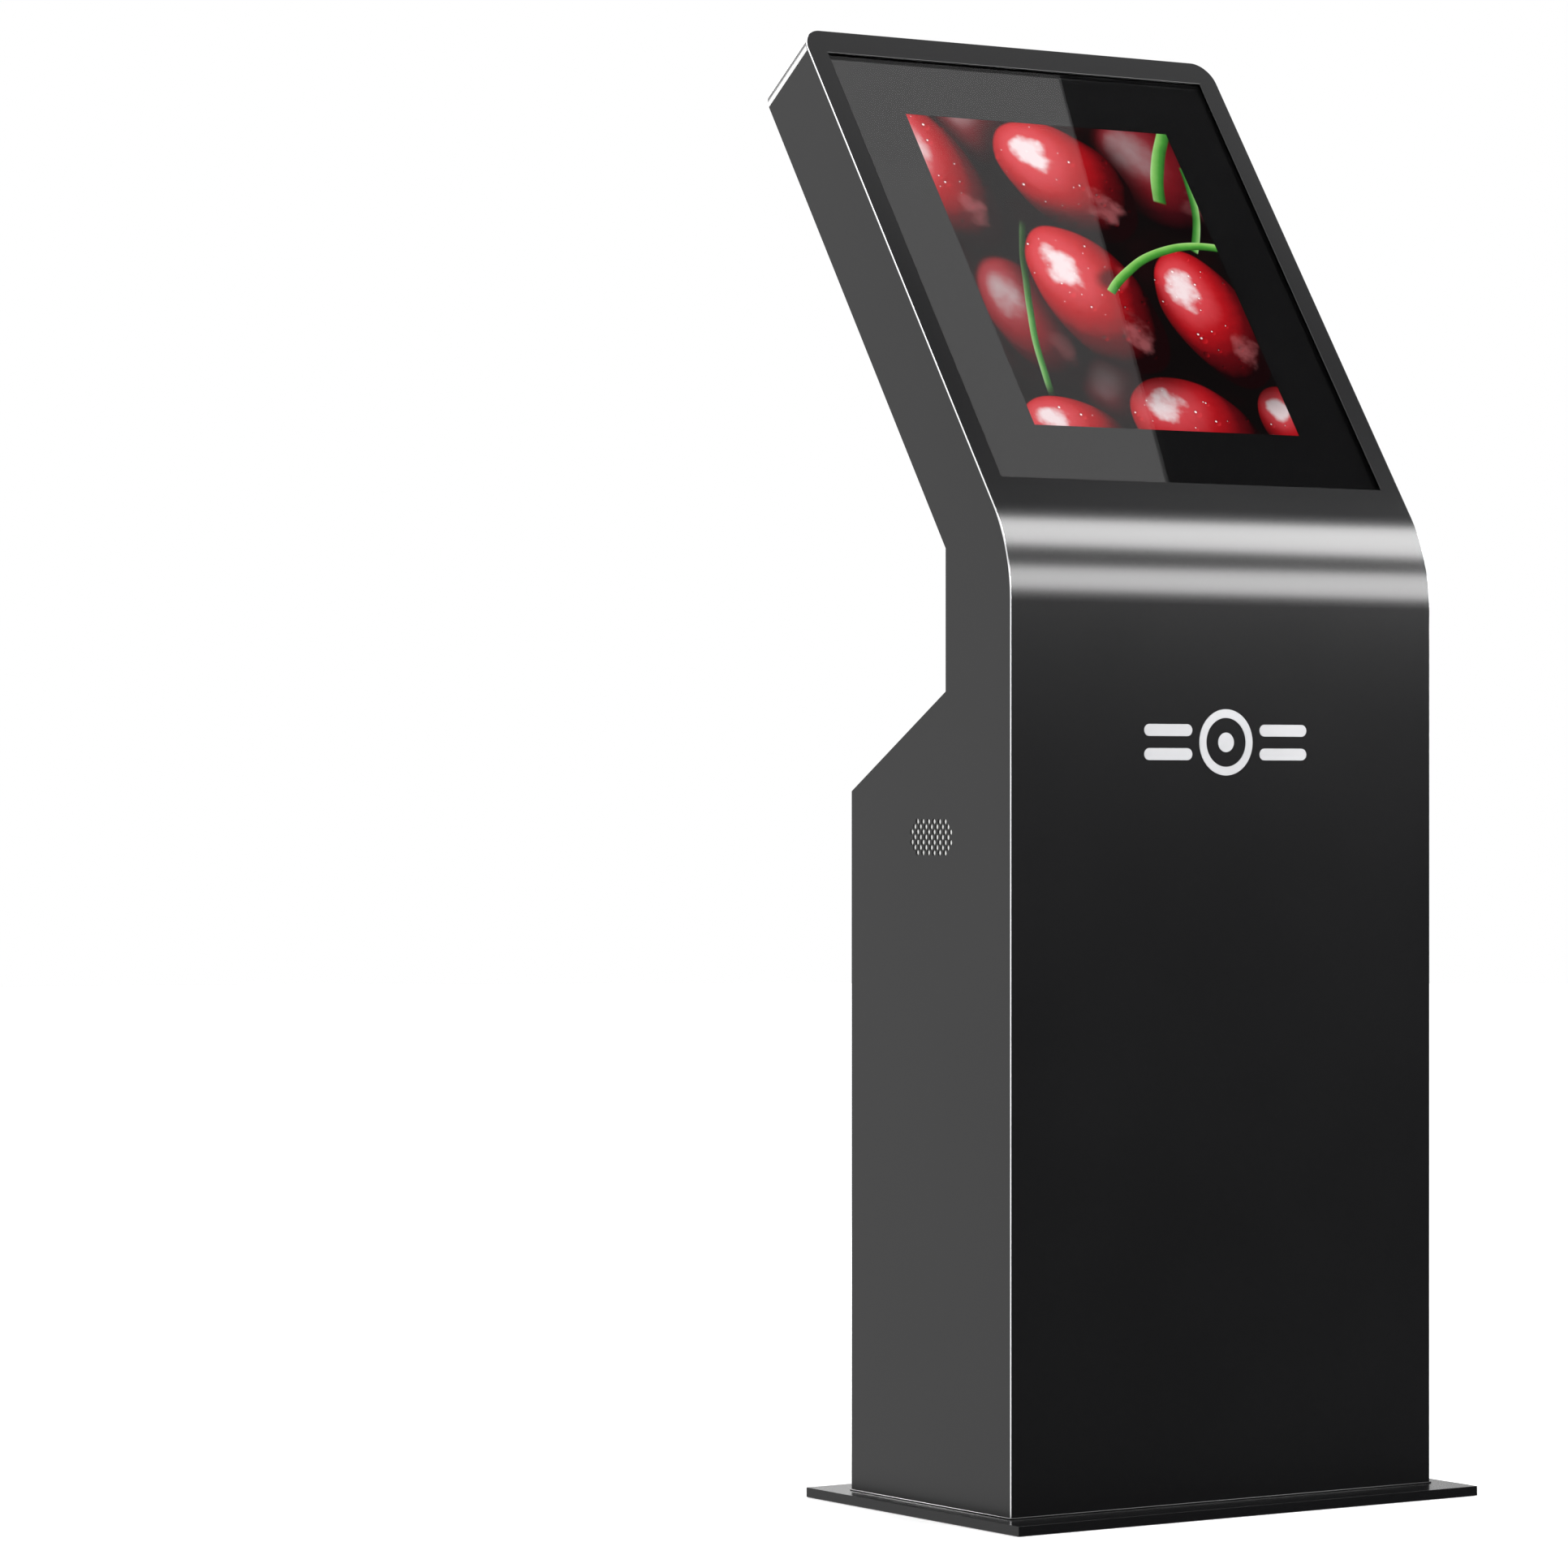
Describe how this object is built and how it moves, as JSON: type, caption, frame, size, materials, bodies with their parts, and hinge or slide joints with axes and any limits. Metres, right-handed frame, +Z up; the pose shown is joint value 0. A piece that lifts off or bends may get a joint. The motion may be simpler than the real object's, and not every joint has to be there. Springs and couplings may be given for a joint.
{
  "type": "touchscreen kiosk",
  "caption": "Floor-standing touchscreen kiosk: sheet-steel cabinet on a base plate, leaning screen head, side speaker grilles and a lockable rear door.",
  "frame": {"origin": "on the floor, under the middle of the base plate", "axes": "+Z up, -Y towards the person who uses the screen, +X to that person's right"},
  "size_m": [0.524, 0.4651, 1.3837],
  "materials": {
    "face_powder_coat": "satin black powder coat",
    "cabinet_powder_coat": "fine textured dark grey powder coat",
    "base_coat": "satin black enamel",
    "zinc_steel": "galvanised",
    "plated_fastener": "bright zinc plate",
    "bright_metal": "turned and polished",
    "black_rubber": "matt",
    "touch_glass": "polished",
    "glass_border": "printed black border",
    "display_picture": "lit picture",
    "circuit_board": "green solder mask",
    "brass": "turned",
    "black_plastic": "moulded",
    "red_plastic": "moulded",
    "grey_plastic": "moulded",
    "black_anodised": "black anodised",
    "emblem_white": "light grey lacquer"
  },
  "bodies": {
    "root": {"front_panel": "face_powder_coat", "left_side_panel": "cabinet_powder_coat", "right_side_panel": "cabinet_powder_coat", "head_top_cap": "cabinet_powder_coat", "head_rear_cover": "cabinet_powder_coat", "neck_panel": "cabinet_powder_coat", "rear_frame": "cabinet_powder_coat", "rear_sill_panel": "cabinet_powder_coat", "base_plate": "base_coat", "base_frame": "zinc_steel", "left_front_rail": "zinc_steel", "right_front_rail": "zinc_steel", "left_head_rail": "zinc_steel", "right_head_rail": "zinc_steel", "left_rear_rail": "zinc_steel", "right_rear_rail": "zinc_steel", "upper_crossbar": "zinc_steel", "lower_crossbar": "zinc_steel", "equipment_shelf": "zinc_steel", "glass_clips": "zinc_steel", "display_unit": "zinc_steel", "power_supply": "zinc_steel", "base_bolts": "plated_fastener", "head_cover_screws": "plated_fastener", "rear_screws": "plated_fastener", "hinge_pins": "plated_fastener", "fan_guard": "plated_fastener", "frame_hinge_leaves": "plated_fastener", "button_housing": "bright_metal", "cable_grommet": "black_rubber", "door_seal": "black_rubber", "computer_feet": "black_rubber", "display_foam": "black_rubber", "glass_tape": "black_rubber", "touch_glass": "touch_glass", "glass_border": "glass_border", "display_face": "display_picture", "driver_board": "circuit_board", "board_standoffs": "brass", "left_speaker": "black_plastic", "right_speaker": "black_plastic", "power_inlet": "black_plastic", "switch_bezel": "black_plastic", "fan_frame": "black_plastic", "left_speaker_cones": "black_plastic", "right_speaker_cones": "black_plastic", "wiring_duct": "grey_plastic", "computer_case": "black_anodised", "inlet_pins": "brass", "emblem": "emblem_white"},
    "rear_door": {"rear_door": "cabinet_powder_coat", "door_hinge_leaves": "plated_fastener", "lock_housing": "bright_metal"},
    "lock_barrel": {"lock_barrel": "bright_metal", "lock_cam": "plated_fastener"},
    "fan_rotor": {"fan_rotor": "black_plastic"},
    "switch_rocker": {"switch_rocker": "red_plastic"},
    "fuse_drawer": {"fuse_drawer": "black_plastic"},
    "button_cap": {"button_cap": "bright_metal"}
  },
  "joints": [
    {"name": "door_hinge", "type": "hinge", "parent": "root", "child": "rear_door", "pos_m": [-0.20925, 0.1347, 0.39815], "axis": [0, 0, 1], "range_deg": [0, 115]},
    {"name": "lock_turn", "type": "hinge", "parent": "rear_door", "child": "lock_barrel", "pos_m": [0.1845, 0.131, 0.39815], "axis": [0, -1, 0], "range_deg": [0, 90]},
    {"name": "fan_spin", "type": "hinge", "parent": "root", "child": "fan_rotor", "pos_m": [-0.12, 0.1165, 0.092], "axis": [0, 1, 0], "continuous": true},
    {"name": "switch_rock", "type": "hinge", "parent": "root", "child": "switch_rocker", "pos_m": [0.15, 0.129, 0.092], "axis": [1, 0, 0], "range_deg": [0, 18]},
    {"name": "fuse_drawer_slide", "type": "slide", "parent": "root", "child": "fuse_drawer", "axis": [0, 1, 0], "range_m": [0, 0.012]},
    {"name": "button_press", "type": "slide", "parent": "root", "child": "button_cap", "axis": [0, -1, 0], "range_m": [0, 0.0025], "stiffness_N_per_m": 400, "springref_m": -0.001}
  ]
}
